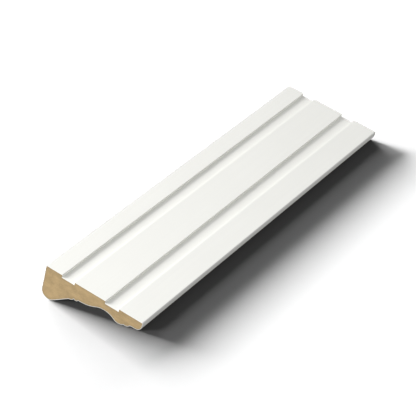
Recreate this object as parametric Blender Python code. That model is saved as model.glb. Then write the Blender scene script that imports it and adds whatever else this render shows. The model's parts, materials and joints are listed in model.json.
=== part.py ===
"""Casing moulding: a short length of primed MDF door and window casing.

It lies face down, as the photo shows it: the nose of the thick edge and the bead near the thin
edge touch the table, so the flat back with its two relief grooves looks up and leans a little
towards the thin edge. The origin is under the middle of the moulding, at the table.
X runs across the moulding from the thick edge to the thin edge, Y runs along it and Z is up.
"""

import math

import bmesh
import bpy

# Overall size, over the primer
LENGTH = 0.2235
WIDTH = 0.05715
THICKNESS = 0.01875

# Thick edge: it leans in towards the back, and a round nose turns it into a straight slope
EDGE_LEAN = math.radians(1.0)
NOSE_RADIUS = 0.0044
SLOPE_ANGLE = math.radians(36.9)
EDGE_TO_SMALL_BEADS = 0.0156

# Two small beads that step down from the slope, and the flat fillet at their foot
FIRST_BEAD_WIDTH = 0.00275
FIRST_BEAD_DROP = 0.00161
FIRST_BEAD_SWELL = 0.0004
SECOND_BEAD_WIDTH = 0.0025
SECOND_BEAD_DROP = 0.0006
SECOND_BEAD_SWELL = 0.0007
FILLET_WIDTH = 0.0009

# Thin edge: a flat band with a round at its end, and an eased corner at the back
BAND_THICKNESS = 0.00572
BAND_WIDTH = 0.0052
EDGE_ROUND = 0.0036
BACK_EASE = 0.0006

# From the band inwards: a small bead, the quirk behind it, the main bead, and the hollow
SMALL_BEAD_RUN = 0.00375
SMALL_BEAD_RISE = 0.00166
QUIRK_RUN = 0.00096
QUIRK_DROP = 0.0001
BEAD_FALL_RUN = 0.0032
BEAD_FALL = 0.0012
BEAD_RUN = 0.0086
BEAD_RISE = 0.00275

# Share of each S curve that its first arc takes, from the thick edge on
OGEE_SWELL_SHARE = 0.66
BEAD_HOLLOW_SHARE = 0.71
SMALL_BEAD_SHARE = 0.5

# Relief grooves in the back, and the flat lands that they leave beside the two edges
GROOVE_DEPTH = 0.00154
THICK_EDGE_LAND = 0.0097
FIRST_GROOVE_WIDTH = 0.00745
THIN_EDGE_LAND = 0.01388
SECOND_GROOVE_WIDTH = 0.00795

# Smoothness of the arcs, and the angle above which an arris stays sharp
ARC_STEP = math.radians(4.0)
SHARP_ANGLE = math.radians(20.0)

# Primer white
PRIMER_COLOUR = (0.89, 0.89, 0.86, 1.0)
PRIMER_ROUGHNESS = 0.42


def clear_scene():
    for item in list(bpy.data.objects):
        bpy.data.objects.remove(item)


def polar(centre, radius, angle):
    """Point on a circle. Angle 0 looks towards the thin edge, a quarter turn towards the face."""
    return (centre[0] + radius * math.cos(angle), centre[1] + radius * math.sin(angle))


def arc(centre, radius, start, end):
    """Points on a circle from one angle to another, both ends included."""
    steps = max(2, math.ceil(abs(end - start) / ARC_STEP))
    return [polar(centre, radius, start + (end - start) * i / steps) for i in range(steps + 1)]


def bead(start, end, swell):
    """Arc from start to end that stands proud of the straight line between them by swell."""
    chord = math.dist(start, end)
    radius = chord * chord / (8 * swell) + swell / 2
    along = ((end[0] - start[0]) / chord, (end[1] - start[1]) / chord)
    out = (-along[1], along[0])
    middle = ((start[0] + end[0]) / 2, (start[1] + end[1]) / 2)
    centre = tuple(middle[i] + out[i] * (swell - radius) for i in (0, 1))
    first = math.atan2(start[1] - centre[1], start[0] - centre[0])
    last = math.atan2(end[1] - centre[1], end[0] - centre[0])
    return arc(centre, radius, first, last)


def ogee(start, end, share):
    """Two arcs that meet in a smooth S, level at both ends. The first arc takes its share of the run."""
    run, rise = end[0] - start[0], end[1] - start[1]
    turn = 2 * math.atan2(abs(rise), run)
    side = math.copysign(1.0, rise)
    first_radius = share * run / math.sin(turn)
    last_radius = (1 - share) * run / math.sin(turn)
    level = side * math.pi / 2
    first_centre = (start[0], start[1] + side * first_radius)
    last_centre = (end[0], end[1] - side * last_radius)
    out = arc(first_centre, first_radius, -level, -level + side * turn)
    back = arc(last_centre, last_radius, level + side * turn, level)
    return out + back[1:]


def falling_arc(crest, foot):
    """Arc that is level at the crest of a bead and falls to its foot."""
    run, drop = foot[0] - crest[0], crest[1] - foot[1]
    radius = (run * run + drop * drop) / (2 * drop)
    centre = (crest[0], crest[1] - radius)
    return arc(centre, radius, math.pi / 2, math.atan2(foot[1] - centre[1], run))


def rising_arc(foot, crest):
    """Arc that climbs from the foot of a bead to its level crest."""
    run, rise = crest[0] - foot[0], crest[1] - foot[1]
    radius = (run * run + rise * rise) / (2 * rise)
    centre = (crest[0], crest[1] - radius)
    return arc(centre, radius, math.atan2(foot[1] - centre[1], -run), math.pi / 2)


def joined(*runs):
    """One list of points from several, without the points where one run starts on the last one's end."""
    points = []
    for run in runs:
        if points and math.dist(points[-1], run[0]) < 1e-7:
            run = run[1:]
        points.extend(run)
    return points


def thick_edge_and_slope():
    """The leaning edge, the nose and the slope, up to the first small bead."""
    centre = (NOSE_RADIUS, THICKNESS - NOSE_RADIUS)
    nose = arc(centre, NOSE_RADIUS, math.pi + EDGE_LEAN, math.pi / 2 - SLOPE_ANGLE)
    back_corner = (nose[0][0] + nose[0][1] * math.tan(EDGE_LEAN), 0.0)
    slope_start = nose[-1]
    slope_end = (EDGE_TO_SMALL_BEADS, slope_start[1] - (EDGE_TO_SMALL_BEADS - slope_start[0]) * math.tan(SLOPE_ANGLE))
    return joined([back_corner], nose, [slope_end])


def small_beads(start):
    """Two beads in steps, and the little flat at their foot."""
    first_foot = (start[0] + FIRST_BEAD_WIDTH, start[1] - FIRST_BEAD_DROP)
    second_foot = (first_foot[0] + SECOND_BEAD_WIDTH, first_foot[1] - SECOND_BEAD_DROP)
    fillet_end = (second_foot[0] + FILLET_WIDTH, second_foot[1])
    return joined(
        bead(start, first_foot, FIRST_BEAD_SWELL),
        bead(first_foot, second_foot, SECOND_BEAD_SWELL),
        [fillet_end],
    )


def thin_edge_stations():
    """Where the hollow, the bead, the quirk, the small bead and the band lie, set out from the thin edge."""
    band = (WIDTH - BAND_WIDTH, BAND_THICKNESS)
    small_crest = (band[0] - SMALL_BEAD_RUN, band[1] + SMALL_BEAD_RISE)
    quirk = (small_crest[0] - QUIRK_RUN, small_crest[1] - QUIRK_DROP)
    crest = (quirk[0] - BEAD_FALL_RUN, quirk[1] + BEAD_FALL)
    hollow = (crest[0] - BEAD_RUN, crest[1] - BEAD_RISE)
    return hollow, crest, quirk, small_crest, band


def ogee_and_beads(start):
    """From the fillet down to the hollow, over the bead and the small bead, to the flat band."""
    hollow, crest, quirk, small_crest, band = thin_edge_stations()
    return joined(
        ogee(start, hollow, OGEE_SWELL_SHARE),
        ogee(hollow, crest, BEAD_HOLLOW_SHARE),
        falling_arc(crest, quirk),
        rising_arc(quirk, small_crest),
        ogee(small_crest, band, SMALL_BEAD_SHARE),
    )


def thin_edge():
    """The round from the band into the thin edge, and the eased corner at the back."""
    round_centre = (WIDTH - EDGE_ROUND, BAND_THICKNESS - EDGE_ROUND)
    ease_centre = (WIDTH - BACK_EASE, BACK_EASE)
    return joined(
        arc(round_centre, EDGE_ROUND, math.pi / 2, 0.0),
        arc(ease_centre, BACK_EASE, 0.0, -math.pi / 2),
    )


def groove(near_thin_edge, width):
    """A relief groove in the back, from its side near the thin edge."""
    far_side = near_thin_edge - width
    return [
        (near_thin_edge, 0.0),
        (near_thin_edge, GROOVE_DEPTH),
        (far_side, GROOVE_DEPTH),
        (far_side, 0.0),
    ]


def profile():
    """The whole outline: each point's distance from the thick edge, and its depth below the back."""
    edge = thick_edge_and_slope()
    beads = small_beads(edge[-1])
    return joined(
        edge,
        beads,
        ogee_and_beads(beads[-1]),
        thin_edge(),
        groove(WIDTH - THIN_EDGE_LAND, SECOND_GROOVE_WIDTH),
        groove(THICK_EDGE_LAND + FIRST_GROOVE_WIDTH, FIRST_GROOVE_WIDTH),
    )


def balance_point(outline):
    """Distance of the profile's centre of area from the thick edge."""
    area = moment = 0.0
    for (u0, v0), (u1, v1) in zip(outline, outline[1:] + outline[:1]):
        cross = u0 * v1 - u1 * v0
        area += cross / 2
        moment += (u0 + u1) * cross / 6
    return moment / area


def face_hull(outline):
    """The points that a table under the moulded face could touch, from the thick edge on."""
    hull = []
    for point in sorted(outline):
        while len(hull) > 1:
            (u0, v0), (u1, v1) = hull[-2], hull[-1]
            if (u1 - u0) * (point[1] - v0) < (v1 - v0) * (point[0] - u0):
                break
            hull.pop()
        hull.append(point)
    return hull


def resting_tilt(outline):
    """Angle between the back and the table when the moulding lies on its nose and its bead."""
    middle = balance_point(outline)
    hull = face_hull(outline)
    for (u0, v0), (u1, v1) in zip(hull, hull[1:]):
        if u0 <= middle <= u1:
            return math.atan2(v0 - v1, u1 - u0)
    raise ValueError("the outline has no side to rest on")


def primer_material():
    material = bpy.data.materials.new("primer")
    material.use_nodes = True
    shader = material.node_tree.nodes["Principled BSDF"]
    shader.inputs["Base Color"].default_value = PRIMER_COLOUR
    shader.inputs["Roughness"].default_value = PRIMER_ROUGHNESS
    shader.inputs["Metallic"].default_value = 0.0
    return material


def moulding_mesh(outline):
    """The outline drawn out along Y, with its middle at the origin and its back on top."""
    shape = bmesh.new()
    corners = [shape.verts.new((u, -LENGTH / 2, -v)) for u, v in outline]
    near_end = shape.faces.new(corners)
    drawn = bmesh.ops.extrude_face_region(shape, geom=[near_end])
    far_corners = [item for item in drawn["geom"] if isinstance(item, bmesh.types.BMVert)]
    bmesh.ops.translate(shape, verts=far_corners, vec=(0.0, LENGTH, 0.0))
    bmesh.ops.recalc_face_normals(shape, faces=shape.faces)
    mesh = bpy.data.meshes.new("casing_moulding")
    shape.to_mesh(mesh)
    shape.free()
    mesh.shade_smooth()
    mesh.set_sharp_from_angle(angle=SHARP_ANGLE)
    return mesh


def make_moulding():
    """The moulding, tilted and set down so that its face rests on the table."""
    outline = profile()
    tilt = resting_tilt(outline)
    across = [u * math.cos(tilt) - v * math.sin(tilt) for u, v in outline]
    drop = [u * math.sin(tilt) + v * math.cos(tilt) for u, v in outline]
    moulding = bpy.data.objects.new("casing_moulding", moulding_mesh(outline))
    moulding.rotation_euler = (0.0, tilt, 0.0)
    moulding.location = (-(min(across) + max(across)) / 2, 0.0, max(drop))
    moulding.data.materials.append(primer_material())
    bpy.context.scene.collection.objects.link(moulding)


def main():
    clear_scene()
    make_moulding()


main()
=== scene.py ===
"""Finishes the casing moulding: its white primer coat, its raw sawn ends, and the studio it lies in.

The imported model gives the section. It is read off the near end and drawn along the length again
by geometry nodes, with eased arrises. The two saw cuts show the raw fibreboard inside the coat.
"""

import json
import math
from collections import namedtuple

import bmesh
import bpy
from bpy.props import FloatProperty, FloatVectorProperty, PointerProperty
from bpy.types import Operator, Panel, PropertyGroup
from mathutils import Matrix, Vector
from mathutils.geometry import delaunay_2d_cdt


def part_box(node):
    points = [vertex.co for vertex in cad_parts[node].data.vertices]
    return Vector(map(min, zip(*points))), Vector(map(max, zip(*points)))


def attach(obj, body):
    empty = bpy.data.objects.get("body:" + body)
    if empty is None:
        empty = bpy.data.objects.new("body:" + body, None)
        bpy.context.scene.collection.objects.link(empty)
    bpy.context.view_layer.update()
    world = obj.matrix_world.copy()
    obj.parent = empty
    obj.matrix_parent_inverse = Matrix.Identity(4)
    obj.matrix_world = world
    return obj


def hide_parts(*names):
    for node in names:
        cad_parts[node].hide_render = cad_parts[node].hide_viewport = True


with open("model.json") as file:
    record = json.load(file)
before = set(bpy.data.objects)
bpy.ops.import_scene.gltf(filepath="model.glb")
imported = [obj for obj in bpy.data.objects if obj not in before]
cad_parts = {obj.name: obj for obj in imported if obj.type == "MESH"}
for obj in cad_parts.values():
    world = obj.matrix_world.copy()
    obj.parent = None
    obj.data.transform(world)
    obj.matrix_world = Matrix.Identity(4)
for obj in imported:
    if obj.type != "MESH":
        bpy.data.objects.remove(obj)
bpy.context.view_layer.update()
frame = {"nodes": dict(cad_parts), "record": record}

bl_info = {
    "name": "Casing Moulding",
    "version": (1, 0, 0),
    "blender": (4, 5, 0),
    "location": "3D View > Sidebar > Casing",
    "description": "Primed casing moulding with raw sawn ends, drawn along its packed section",
    "category": "Object",
}

NODE = "casing_moulding"

# Points closer than this are one point
WELD = 1e-6
# Kind of triangulation that keeps only what lies inside the outlines
TRIANGLES_INSIDE = 1
# A corner that turns by more than this is an arris or a quirk
SHARP_ANGLE = math.radians(20.0)
# Places along the arc over an eased corner, and the largest share of a side that the arc takes
EASE_SHARES = (0.0, 0.25, 0.5, 0.75, 1.0)
EASE_LIMIT = 0.45
# A face looks along an axis when its normal's share of the axis passes this
NEARLY_ALONG = 0.99
# A side stands square to the back when its share of the back's axis passes this
SQUARE_TO_BACK = 0.999
# The outline runs leftwards along the back, where its sides run to the right by less than this
BACK_RUN = -0.5
# Width of the thin edge, whose own side isn't the side of a groove
THIN_EDGE = 0.005
# Points inside the core stand in rows of equal triangles, and this share of their spacing off its edge
ROW_STEP = math.sqrt(0.75)
SET_BACK = 0.6
# Length of the drag lines' pattern against its width, and how far the board's layers are drawn out
DRAG_SCALE = 0.012
LAYER_STRETCH = 1.8
# How strongly the patterns of the fibreboard show
MOTTLE_SHARE = 0.6
EDGE_SHARE = 0.6
SPECK_SHARE = 0.35
# Height above and below the horizon over which the room's light changes
HORIZON = 0.1

FloorLamp = namedtuple("FloorLamp", "name azimuth elevation distance width height strength")

# Lamps that light only the floor, so that it stays white up to the shadow that the moulding throws.
# Angles are in degrees, lengths in metres, and the strength is the brightness that the floor gets.
FLOOR_LAMPS = (
    FloorLamp("floor_panel_low", -98.0, 12.4, 8.0, 3.2, 0.56, 0.84),
    FloorLamp("floor_panel_far", -122.0, 11.6, 8.0, 4.4, 0.6, 0.18),
    FloorLamp("floor_panel_high", -136.0, 22.0, 4.0, 1.6, 1.2, 0.05),
    FloorLamp("floor_panel_front", -42.0, 20.0, 4.0, 1.2, 1.2, 0.03),
)


class MouldingSettings(PropertyGroup):
    """Sizes and colours of the moulding's finish."""

    primer_coat: FloatProperty(
        name="Primer coat",
        description="Thickness of the white coat, as the saw cuts show it",
        default=0.0003, min=0.0, unit="LENGTH", precision=5,
    )
    groove_side_coat: FloatProperty(
        name="Coat on groove sides",
        description="Thickness of the coat on the steep sides of the relief grooves",
        default=0.00006, min=0.0, unit="LENGTH", precision=5,
    )
    nose_coat: FloatProperty(
        name="Coat on the nose",
        description="Thickness of the coat where the thick edge runs down into its nose",
        default=0.00006, min=0.0, unit="LENGTH", precision=5,
    )
    nose_width: FloatProperty(
        name="Nose width",
        description="How far in from the thick edge the coat stays thinner",
        default=0.0045, min=0.001, unit="LENGTH", precision=4,
    )
    arris_ease: FloatProperty(
        name="Arris ease",
        description="How far the primer rounds over the arrises and fills the quirks",
        default=0.00006, min=0.0, unit="LENGTH", precision=5,
    )
    saw_arris: FloatProperty(
        name="Saw arris",
        description="How far the arris round a saw cut is taken off",
        default=0.00004, min=0.0, unit="LENGTH", precision=6,
    )
    dense_edge: FloatProperty(
        name="Dense edge",
        description="Width of the darker, denser fibreboard along the coat",
        default=0.0009, min=0.0, unit="LENGTH", precision=5,
    )
    saw_depth: FloatProperty(
        name="Saw relief",
        description="Depth of the torn fibres in the saw cuts",
        default=0.00004, min=0.0, unit="LENGTH", precision=6,
    )
    fibre_size: FloatProperty(
        name="Fibre size",
        description="Width of the torn fibre bundles in the saw cuts",
        default=0.0009, min=0.0001, unit="LENGTH", precision=5,
    )
    primer_colour: FloatVectorProperty(
        name="Primer", description="Colour of the primer coat",
        subtype="COLOR", default=(0.90, 0.90, 0.86), min=0.0, max=1.0,
    )
    board_light: FloatVectorProperty(
        name="Fibreboard, light", description="Colour of the light fibres in the saw cuts",
        subtype="COLOR", default=(0.535, 0.382, 0.192), min=0.0, max=1.0,
    )
    board_dark: FloatVectorProperty(
        name="Fibreboard, dark", description="Colour of the dark fibres in the saw cuts",
        subtype="COLOR", default=(0.38, 0.271, 0.1355), min=0.0, max=1.0,
    )


class StudioSettings(PropertyGroup):
    """Light, floor and camera."""

    floor_size: FloatProperty(
        name="Floor size", description="Side of the square floor",
        default=12.0, min=1.0, unit="LENGTH",
    )
    floor_colour: FloatVectorProperty(
        name="Floor", description="Colour of the floor before its own lamps wash it white",
        subtype="COLOR", default=(0.06, 0.06, 0.06), min=0.0, max=1.0,
    )
    floor_light: FloatProperty(
        name="Floor light", description="Share of the floor lamps' strength", default=1.0, min=0.0,
    )
    room_light: FloatProperty(
        name="Room light", description="Brightness of the white room above the floor", default=0.545, min=0.0,
    )
    low_light: FloatProperty(
        name="Low light", description="Brightness that the moulding gets from below", default=0.285, min=0.0,
    )
    key_light: FloatProperty(
        name="Key light", description="Power of the key lamp", default=12.75, min=0.0, unit="POWER",
    )
    key_size: FloatProperty(
        name="Key size", description="Side of the square key lamp", default=0.442, min=0.01, unit="LENGTH",
    )
    key_azimuth: FloatProperty(
        name="Key azimuth", description="Side that the key comes from, left of the near end",
        subtype="ANGLE", default=math.radians(-47.0),
    )
    key_elevation: FloatProperty(
        name="Key height", description="Height of the key above the horizon",
        subtype="ANGLE", default=math.radians(35.7),
    )
    key_distance: FloatProperty(
        name="Key distance", description="Distance from the key to the moulding",
        default=1.04, min=0.1, unit="LENGTH",
    )
    camera_azimuth: FloatProperty(
        name="Camera azimuth", description="Side that the camera looks from",
        subtype="ANGLE", default=math.radians(33.80),
    )
    camera_elevation: FloatProperty(
        name="Camera height", description="Height of the camera above the horizon",
        subtype="ANGLE", default=math.radians(29.82),
    )
    camera_roll: FloatProperty(
        name="Camera roll", description="Turn of the camera about its view",
        subtype="ANGLE", default=math.radians(-1.40),
    )
    camera_distance: FloatProperty(
        name="Camera distance", description="Distance from the camera to the point it looks at",
        default=1.0, min=0.1, unit="LENGTH",
    )
    camera_lens: FloatProperty(
        name="Lens", description="Focal length in millimetres", default=168.7, min=10.0,
    )
    camera_aim: FloatVectorProperty(
        name="Aim", description="Point that the camera looks at",
        subtype="TRANSLATION", default=(-0.00353, -0.00552, 0.00499), precision=5,
    )


def direction(azimuth, elevation):
    """Where something stands as seen from the moulding: azimuth 0 is in front of the near end."""
    level = math.cos(elevation)
    return Vector((math.sin(azimuth) * level, -math.cos(azimuth) * level, math.sin(elevation)))


def add_node(tree, kind, inputs=None, **settings):
    """New node. Each input is given a value, or the output that feeds it."""
    made = tree.nodes.new(kind)
    for name, value in settings.items():
        setattr(made, name, value)
    for key, value in (inputs or {}).items():
        if isinstance(value, bpy.types.NodeSocket):
            tree.links.new(value, made.inputs[key])
        else:
            made.inputs[key].default_value = value
    return made


def add_noise(tree, place, size, detail=2.0):
    """Noise between 0 and 1 whose patches are about size across."""
    noise = add_node(tree, "ShaderNodeTexNoise", {"Vector": place, "Scale": 1.0 / size, "Detail": detail})
    return noise.outputs[0]


def add_range(tree, value, low, high, to_low=0.0, to_high=1.0):
    """The value, moved from one range to another and held inside it."""
    inputs = {"Value": value, "From Min": low, "From Max": high, "To Min": to_low, "To Max": to_high}
    return add_node(tree, "ShaderNodeMapRange", inputs).outputs[0]


def add_blend(tree, share, first, second):
    """First colour where the share is 0, second where it is 1."""
    return add_node(tree, "ShaderNodeMix", {0: share, 6: first, 7: second}, data_type="RGBA").outputs[2]


def add_math(tree, operation, first, second):
    """Result of the operation on two values."""
    return add_node(tree, "ShaderNodeMath", {0: first, 1: second}, operation=operation).outputs[0]


def with_alpha(colour, shade=1.0):
    """The colour, made lighter or darker, with the fourth number that a colour socket needs."""
    return (*[part * shade for part in colour], 1.0)


def new_material(name):
    """New material, its node tree and its shader."""
    material = bpy.data.materials.new(name)
    material.use_nodes = True
    return material, material.node_tree, material.node_tree.nodes["Principled BSDF"]


def primer_material(settings):
    """White satin primer: faint clouding, drag lines along the length and a fine stipple."""
    material, tree, shader = new_material("white_primer")
    place = add_node(tree, "ShaderNodeTexCoord").outputs["Object"]
    drawn = add_node(tree, "ShaderNodeMapping", {
        "Vector": place, "Scale": (1.0, DRAG_SCALE, 1.0),
    }).outputs[0]
    clouds = add_noise(tree, place, size=0.03, detail=3.0)
    drag = add_noise(tree, drawn, size=0.0012)
    stipple = add_noise(tree, place, size=0.0005)
    cover = add_range(tree, add_math(tree, "MULTIPLY", clouds, drag), low=0.15, high=0.40)
    thin = with_alpha(settings.primer_colour, shade=0.99)
    full = with_alpha(settings.primer_colour, shade=1.006)
    height = add_node(tree, "ShaderNodeMath", {0: drag, 1: 1.5, 2: stipple}, operation="MULTIPLY_ADD")
    bump = add_node(tree, "ShaderNodeBump", {
        "Height": height.outputs[0], "Strength": 0.25, "Distance": 0.00001,
    })
    roughness = add_range(tree, clouds, low=0.3, high=0.7, to_low=0.42, to_high=0.52)
    tree.links.new(add_blend(tree, cover, thin, full), shader.inputs["Base Color"])
    tree.links.new(roughness, shader.inputs["Roughness"])
    tree.links.new(bump.outputs[0], shader.inputs["Normal"])
    return material


def board_material(settings):
    """Raw sawn fibreboard: soft mottling, fine fibres and a denser, darker edge under the coat."""
    material, tree, shader = new_material("raw_fibreboard")
    place = add_node(tree, "ShaderNodeTexCoord").outputs["Object"]
    back = frame_axis("back")
    layered = add_node(tree, "ShaderNodeMapping", {
        "Vector": place,
        "Rotation": (0.0, math.atan2(back[0], back[2]), 0.0),
        "Scale": (LAYER_STRETCH, 1.0, 1.0),
    }, vector_type="TEXTURE").outputs[0]
    mottle = add_range(tree, add_noise(tree, layered, size=0.003, detail=4.0), low=0.36, high=0.64)
    fibres = add_range(tree, add_noise(tree, layered, size=0.0005, detail=3.0), low=0.3, high=0.7)
    specks = add_range(tree, add_noise(tree, layered, size=0.00025, detail=1.0), low=0.68, high=0.78)
    coarse = add_math(tree, "MULTIPLY", mottle, MOTTLE_SHARE)
    fine = add_math(tree, "MULTIPLY", fibres, 1.0 - MOTTLE_SHARE)
    light = add_math(tree, "ADD", coarse, fine)
    colour = add_blend(tree, light, with_alpha(settings.board_dark), with_alpha(settings.board_light))
    edge = add_node(tree, "ShaderNodeAttribute", attribute_name="edge").outputs["Fac"]
    dense = add_math(tree, "MULTIPLY", edge, EDGE_SHARE)
    colour = add_blend(tree, dense, colour, with_alpha(settings.board_dark, shade=0.9))
    speckled = add_math(tree, "MULTIPLY", specks, SPECK_SHARE)
    colour = add_blend(tree, speckled, colour, with_alpha(settings.board_dark, shade=0.55))
    bump = add_node(tree, "ShaderNodeBump", {"Height": fibres, "Strength": 0.5, "Distance": 0.00006})
    roughness = add_range(tree, fibres, low=0.0, high=1.0, to_low=0.95, to_high=0.82)
    tree.links.new(colour, shader.inputs["Base Color"])
    tree.links.new(roughness, shader.inputs["Roughness"])
    tree.links.new(bump.outputs[0], shader.inputs["Normal"])
    return material


def section_outline(node):
    """Corners of the section in order, as (across, up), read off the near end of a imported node."""
    shape = bmesh.new()
    shape.from_mesh(node.data)
    bmesh.ops.remove_doubles(shape, verts=shape.verts, dist=WELD)
    end_faces = {face for face in shape.faces if face.normal.y < -NEARLY_ALONG}
    border = [edge for edge in shape.edges if len(end_faces.intersection(edge.link_faces)) == 1]
    neighbours = {}
    for edge in border:
        first, second = edge.verts
        neighbours.setdefault(first, []).append(second)
        neighbours.setdefault(second, []).append(first)
    walk = [border[0].verts[0]]
    walk.append(neighbours[walk[0]][0])
    while walk[-1] is not walk[0]:
        ahead = [vert for vert in neighbours[walk[-1]] if vert is not walk[-2]]
        walk.append(ahead[0])
    corners = [Vector((vert.co.x, vert.co.z)) for vert in walk[:-1]]
    shape.free()
    return corners if signed_area(corners) > 0 else corners[::-1]


def eased(corners, reach):
    """The outline with its sharp corners turned into short arcs, as primer rounds and fills them."""
    soft = []
    for i, here in enumerate(corners):
        before, after = corners[i - 1], corners[(i + 1) % len(corners)]
        if abs((here - before).angle_signed(after - here)) < SHARP_ANGLE:
            soft.append(here)
            continue
        start = here + (before - here) * min(EASE_LIMIT, reach / (before - here).length)
        end = here + (after - here) * min(EASE_LIMIT, reach / (after - here).length)
        for share in EASE_SHARES:
            soft.append(start.lerp(here, share).lerp(here.lerp(end, share), share))
    return soft


def signed_area(corners):
    """Area of the outline, positive where it runs anticlockwise seen from the near end."""
    return sum(a.cross(b) for a, b in zip(corners, corners[1:] + corners[:1])) / 2


def inset(corners, coats):
    """The outline moved inwards. Each side, from its corner to the next, moves by its own coat."""
    moved = []
    for i, here in enumerate(corners):
        before = (here - corners[i - 1]).normalized()
        after = (corners[(i + 1) % len(corners)] - here).normalized()
        turn = before.cross(after)
        if abs(turn) > math.sin(SHARP_ANGLE):
            moved.append(here + (after * coats[i - 1] - before * coats[i]) / turn)
        else:
            mean = before + after
            inwards = Vector((-mean.y, mean.x)) / mean.length_squared
            moved.append(here + inwards * (coats[i - 1] + coats[i]))
    return moved


def core_outline(corners, settings):
    """Outline of the fibreboard inside the coat. Corners too tight for the coat drop out."""
    corners = list(corners)
    while True:
        core = inset(corners, coat_on_sides(corners, settings))
        for i, here in enumerate(corners):
            after = (i + 1) % len(corners)
            if (core[after] - core[i]).dot(corners[after] - here) < 0:
                del corners[after]
                break
        else:
            return core


def coat_on_sides(corners, settings):
    """Thickness of the primer on each side of the outline: thin in the grooves and over the nose."""
    back = Vector([frame_axis("back")[i] for i in (0, 2)])
    left = min(corner.x for corner in corners)
    right = max(corner.x for corner in corners)
    coats = []
    for here, ahead in zip(corners, corners[1:] + corners[:1]):
        run = (ahead - here).normalized()
        coat = settings.primer_coat
        if abs(run.dot(back)) > SQUARE_TO_BACK and here.x < right - THIN_EDGE:
            coat = settings.groove_side_coat
        elif run.x > BACK_RUN and here.x < left + settings.nose_width:
            share = (here.x - left) / settings.nose_width
            coat = settings.nose_coat + (coat - settings.nose_coat) * share
        coats.append(coat)
    return coats


def frame_axis(mount):
    """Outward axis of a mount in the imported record."""
    return next(entry["axis"] for entry in frame["record"]["mounts"] if entry["name"] == mount)


def distance_inside(point, corners):
    """How far a point lies inside the outline. It is negative outside."""
    nearest = math.inf
    inside = False
    for a, b in zip(corners, corners[1:] + corners[:1]):
        side = b - a
        along = max(0.0, min(1.0, (point - a).dot(side) / side.length_squared))
        nearest = min(nearest, (a + side * along - point).length)
        if (a.y > point.y) != (b.y > point.y) and point.x < a.x + side.x * (point.y - a.y) / side.y:
            inside = not inside
    return nearest if inside else -nearest


def points_inside(corners, spacing):
    """Points in rows inside the outline, set back from it."""
    low = Vector((min(c.x for c in corners), min(c.y for c in corners)))
    high = Vector((max(c.x for c in corners), max(c.y for c in corners)))
    rows = math.ceil((high.y - low.y) / (spacing * ROW_STEP))
    columns = math.ceil((high.x - low.x) / spacing)
    found = []
    for row in range(rows):
        for column in range(columns):
            step = Vector((column + row % 2 / 2, row * ROW_STEP))
            point = low + step * spacing
            if distance_inside(point, corners) > spacing * SET_BACK:
                found.append(point)
    return found


def saw_cut_mesh(settings):
    """The near saw cut: fibreboard with primer all round, and a narrow arris out to the full section."""
    corners = section_outline(frame["nodes"][NODE])
    core = core_outline(corners, settings)
    outline = eased(corners, settings.arris_ease)
    cap = inset(outline, [settings.saw_arris] * len(outline))
    rings = [list(range(len(cap))), list(range(len(cap), len(cap) + len(core)))]
    sides = [side for ring in rings for side in zip(ring, ring[1:] + ring[:1])]
    points = cap + core + points_inside(core, settings.fibre_size / 2)
    points, _, faces, sources, _, rings_round = delaunay_2d_cdt(points, sides, rings, TRIANGLES_INSIDE, WELD)
    fibreboard = [len(rings) == 2 for rings in rings_round]
    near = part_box(NODE)[0].y
    places = [(p.x, near, p.y) for p in points] + [(p.x, near + settings.saw_arris, p.y) for p in outline]
    made_from = {source: i for i, group in enumerate(sources) for source in group}
    for i in range(len(outline)):
        j = (i + 1) % len(outline)
        faces.append((made_from[j], made_from[i], len(points) + i, len(points) + j))
        fibreboard.append(False)
    mesh = bpy.data.meshes.new("saw_cut")
    mesh.from_pydata(places, [], faces)
    edge = [1.0 - distance_inside(point, core) / settings.dense_edge for point in points]
    edge = [max(0.0, min(1.0, share)) for share in edge] + [1.0] * len(outline)
    mesh.attributes.new("edge", "FLOAT", "POINT").data.foreach_set("value", edge)
    mesh.attributes.new("fibreboard", "BOOLEAN", "FACE").data.foreach_set("value", fibreboard)
    return mesh


def torn_fibres(tree, geometry, edge, given):
    """Sinks the fibreboard of the saw cuts unevenly, and not at all along the coat."""
    place = add_node(tree, "GeometryNodeInputPosition").outputs[0]
    scale = add_math(tree, "DIVIDE", 1.0, given["Fibre size"])
    noise = add_node(tree, "ShaderNodeTexNoise", {"Vector": place, "Scale": scale, "Detail": 2.0}).outputs[0]
    depth = add_math(tree, "MULTIPLY", noise, given["Saw depth"])
    depth = add_math(tree, "MULTIPLY", depth, add_math(tree, "SUBTRACT", edge, 1.0))
    normal = add_node(tree, "GeometryNodeInputNormal").outputs[0]
    sink = add_node(tree, "ShaderNodeVectorMath", {0: normal, "Scale": depth}, operation="SCALE").outputs[0]
    return add_node(tree, "GeometryNodeSetPosition", {"Geometry": geometry, "Offset": sink}).outputs[0]


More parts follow.
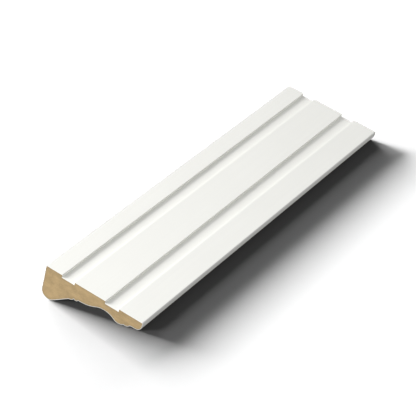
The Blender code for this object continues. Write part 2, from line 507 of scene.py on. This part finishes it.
def moulding_tree():
    """Geometry nodes that draw a saw cut's rim along the length and close it with a second cut."""
    tree = bpy.data.node_groups.new("Draw moulding", "GeometryNodeTree")
    inputs = {
        "Geometry": "NodeSocketGeometry",
        "Length": "NodeSocketFloat",
        "Saw arris": "NodeSocketFloat",
        "Saw depth": "NodeSocketFloat",
        "Fibre size": "NodeSocketFloat",
        "Primer": "NodeSocketMaterial",
        "Fibreboard": "NodeSocketMaterial",
    }
    for name, kind in inputs.items():
        tree.interface.new_socket(name=name, in_out="INPUT", socket_type=kind)
    tree.interface.new_socket(name="Geometry", in_out="OUTPUT", socket_type="NodeSocketGeometry")
    given = add_node(tree, "NodeGroupInput").outputs
    faces_beside = add_node(tree, "GeometryNodeInputMeshEdgeNeighbors").outputs[0]
    rim = add_math(tree, "COMPARE", faces_beside, 1.0)
    between = add_math(tree, "SUBTRACT", given["Length"], add_math(tree, "MULTIPLY", given["Saw arris"], 2.0))
    along = add_node(tree, "ShaderNodeCombineXYZ", {"Y": between}).outputs[0]
    drawn = add_node(tree, "GeometryNodeExtrudeMesh", {
        "Mesh": given["Geometry"], "Selection": rim, "Offset": along,
    }, mode="EDGES").outputs[0]
    place = add_node(tree, "GeometryNodeInputPosition").outputs[0]
    across = add_node(tree, "ShaderNodeVectorMath", {
        0: place, 1: (1.0, -1.0, 1.0),
    }, operation="MULTIPLY").outputs[0]
    mirrored = add_node(tree, "GeometryNodeSetPosition", {"Geometry": given["Geometry"], "Position": across})
    far_cut = add_node(tree, "GeometryNodeFlipFaces", {"Mesh": mirrored.outputs[0]}).outputs[0]
    parts = add_node(tree, "GeometryNodeJoinGeometry", {"Geometry": drawn})
    tree.links.new(far_cut, parts.inputs[0])
    closed = add_node(tree, "GeometryNodeMergeByDistance", {"Geometry": parts.outputs[0], "Distance": WELD})
    edge = add_node(tree, "GeometryNodeInputNamedAttribute", {"Name": "edge"}, data_type="FLOAT").outputs[0]
    sawn = torn_fibres(tree, closed.outputs[0], edge, given)
    smooth = add_node(tree, "GeometryNodeSetShadeSmooth", {"Geometry": sawn}).outputs[0]
    whole = add_node(tree, "GeometryNodeRealizeInstances", {"Geometry": smooth}).outputs[0]
    coated = add_node(tree, "GeometryNodeSetMaterial", {
        "Geometry": whole, "Material": given["Primer"],
    }).outputs[0]
    raw = add_node(tree, "GeometryNodeInputNamedAttribute", {
        "Name": "fibreboard",
    }, data_type="BOOLEAN").outputs[0]
    done = add_node(tree, "GeometryNodeSetMaterial", {
        "Geometry": coated, "Selection": raw, "Material": given["Fibreboard"],
    }).outputs[0]
    add_node(tree, "NodeGroupOutput", {"Geometry": done})
    return tree


def set_inputs(modifier, values):
    """Sets a geometry nodes modifier's inputs, which it keeps under their identifiers."""
    for item in modifier.node_group.interface.items_tree:
        if item.in_out == "INPUT" and item.name in values:
            modifier[item.identifier] = values[item.name]


def finished(piece):
    """The piece with its modifiers turned into plain mesh."""
    bpy.context.view_layer.update()
    evaluated = piece.evaluated_get(bpy.context.evaluated_depsgraph_get())
    mesh = bpy.data.meshes.new_from_object(evaluated)
    piece.modifiers.clear()
    rough = piece.data
    piece.data = mesh
    bpy.data.meshes.remove(rough)
    mesh.name = piece.name
    return piece


class CASING_OT_make_moulding(Operator):
    """Draw the primed moulding along its packed section"""

    bl_idname = "casing.make_moulding"
    bl_label = "Make moulding"

    def execute(self, context):
        settings = context.scene.casing_moulding
        low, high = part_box(NODE)
        primer = primer_material(settings)
        moulding = bpy.data.objects.new("primed_casing", saw_cut_mesh(settings))
        moulding.data.materials.append(primer)
        context.scene.collection.objects.link(moulding)
        draw = moulding.modifiers.new("Draw", "NODES")
        draw.node_group = moulding_tree()
        set_inputs(draw, {
            "Length": high.y - low.y,
            "Saw arris": settings.saw_arris,
            "Saw depth": settings.saw_depth,
            "Fibre size": settings.fibre_size,
            "Primer": primer,
            "Fibreboard": board_material(settings),
        })
        moulding.modifiers.new("Flat faces", "WEIGHTED_NORMAL")
        finished(moulding)
        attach(moulding, "root")
        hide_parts(NODE)
        return {"FINISHED"}


def floor_material(settings):
    """Matt paper with a barely visible tooth."""
    material, tree, shader = new_material("floor_paper")
    place = add_node(tree, "ShaderNodeTexCoord").outputs["Object"]
    tooth = add_noise(tree, place, size=0.004)
    low = with_alpha(settings.floor_colour, shade=0.97)
    high = with_alpha(settings.floor_colour)
    tree.links.new(add_blend(tree, tooth, low, high), shader.inputs["Base Color"])
    shader.inputs["Roughness"].default_value = 1.0
    shader.inputs["Specular IOR Level"].default_value = 0.0
    return material


def make_floor(settings):
    """Floor that shows the shadows, while the moulding is lit from below as if it stood on clear glass."""
    half = settings.floor_size / 2
    mesh = bpy.data.meshes.new("floor")
    corners = [(-half, -half, 0), (half, -half, 0), (half, half, 0), (-half, half, 0)]
    mesh.from_pydata(corners, [], [(0, 1, 2, 3)])
    mesh.materials.append(floor_material(settings))
    floor = bpy.data.objects.new("floor", mesh)
    bpy.context.scene.collection.objects.link(floor)
    floor.visible_diffuse = False
    floor.visible_glossy = False
    floor.visible_shadow = False
    return floor


def light_only(lamp, name, receivers):
    """Lets a lamp light only these objects."""
    group = bpy.data.collections.new(name)
    for receiver in receivers:
        group.objects.link(receiver)
    lamp.light_linking.receiver_collection = group


def hang_lamp(name, kind, azimuth, elevation, distance=1.0):
    """A lamp at that place round the moulding, turned towards it."""
    data = bpy.data.lights.new(name, kind)
    lamp = bpy.data.objects.new(name, data)
    place = direction(azimuth, elevation)
    lamp.location = place * distance
    lamp.rotation_mode = "QUATERNION"
    lamp.rotation_quaternion = place.to_track_quat("Z", "Y")
    bpy.context.scene.collection.objects.link(lamp)
    return lamp


def hang_lamps(settings, floor, moulding):
    """The key lights only the moulding, and low panels light only the floor."""
    key = hang_lamp("key", "AREA", settings.key_azimuth, settings.key_elevation, settings.key_distance)
    key.data.energy = settings.key_light
    key.data.size = settings.key_size
    light_only(key, "key_lights", [moulding])
    for entry in FLOOR_LAMPS:
        azimuth, elevation = math.radians(entry.azimuth), math.radians(entry.elevation)
        lamp = hang_lamp(entry.name, "AREA", azimuth, elevation, entry.distance)
        lamp.data.shape = "RECTANGLE"
        lamp.data.size, lamp.data.size_y = entry.width, entry.height
        per_watt = settings.floor_colour[0] * math.sin(elevation) / (math.pi * entry.distance) ** 2
        lamp.data.energy = entry.strength * settings.floor_light / per_watt
        light_only(lamp, lamp.name + "_lights", [floor])


def light_room(settings):
    """White room above the horizon, and a weaker light from below it."""
    world = bpy.data.worlds.new("white_room")
    world.use_nodes = True
    background = world.node_tree.nodes["Background"]
    background.inputs["Color"].default_value = (1.0, 1.0, 1.0, 1.0)
    towards = add_node(world.node_tree, "ShaderNodeTexCoord").outputs["Generated"]
    height = add_node(world.node_tree, "ShaderNodeSeparateXYZ", {0: towards}).outputs["Z"]
    strength = add_range(world.node_tree, height, -HORIZON, HORIZON, settings.low_light, settings.room_light)
    world.node_tree.links.new(strength, background.inputs["Strength"])
    bpy.context.scene.world = world


def place_camera(settings):
    """Camera at the photograph's angle, looking at the aim."""
    data = bpy.data.cameras.new("camera")
    data.lens = settings.camera_lens
    data.sensor_width = 36.0
    data.clip_start = 0.01
    data.clip_end = 50.0
    back = direction(settings.camera_azimuth, settings.camera_elevation)
    level = Vector((math.cos(settings.camera_azimuth), math.sin(settings.camera_azimuth), 0.0))
    right = Matrix.Rotation(settings.camera_roll, 3, back) @ level
    turn = Matrix((right, back.cross(right), back)).transposed()
    camera = bpy.data.objects.new("camera", data)
    place = Vector(settings.camera_aim) + back * settings.camera_distance
    camera.matrix_world = Matrix.Translation(place) @ turn.to_4x4()
    bpy.context.scene.collection.objects.link(camera)
    bpy.context.scene.camera = camera


class CASING_OT_set_stage(Operator):
    """Lay the floor, hang the lamps and place the camera"""

    bl_idname = "casing.set_stage"
    bl_label = "Set stage"

    def execute(self, context):
        settings = context.scene.casing_studio
        floor = make_floor(settings)
        hang_lamps(settings, floor, context.scene.objects["primed_casing"])
        light_room(settings)
        place_camera(settings)
        context.scene.view_settings.view_transform = "Standard"
        return {"FINISHED"}


class CASING_PT_sidebar(Panel):
    """Sizes, colours and steps of the casing moulding"""

    bl_idname = "CASING_PT_sidebar"
    bl_label = "Casing moulding"
    bl_space_type = "VIEW_3D"
    bl_region_type = "UI"
    bl_category = "Casing"

    def draw(self, context):
        layout = self.layout
        for settings in (context.scene.casing_moulding, context.scene.casing_studio):
            box = layout.box()
            for name in settings.__annotations__:
                box.prop(settings, name)
        for step in STEPS:
            layout.operator(step.bl_idname)


STEPS = (CASING_OT_make_moulding, CASING_OT_set_stage)
CLASSES = (MouldingSettings, StudioSettings, *STEPS, CASING_PT_sidebar)


def register():
    for each in CLASSES:
        bpy.utils.register_class(each)
    bpy.types.Scene.casing_moulding = PointerProperty(type=MouldingSettings)
    bpy.types.Scene.casing_studio = PointerProperty(type=StudioSettings)


def unregister():
    del bpy.types.Scene.casing_studio
    del bpy.types.Scene.casing_moulding
    for each in reversed(CLASSES):
        bpy.utils.unregister_class(each)


def main():
    register()
    bpy.ops.casing.make_moulding()
    bpy.ops.casing.set_stage()


if __name__ == "__main__":
    main()
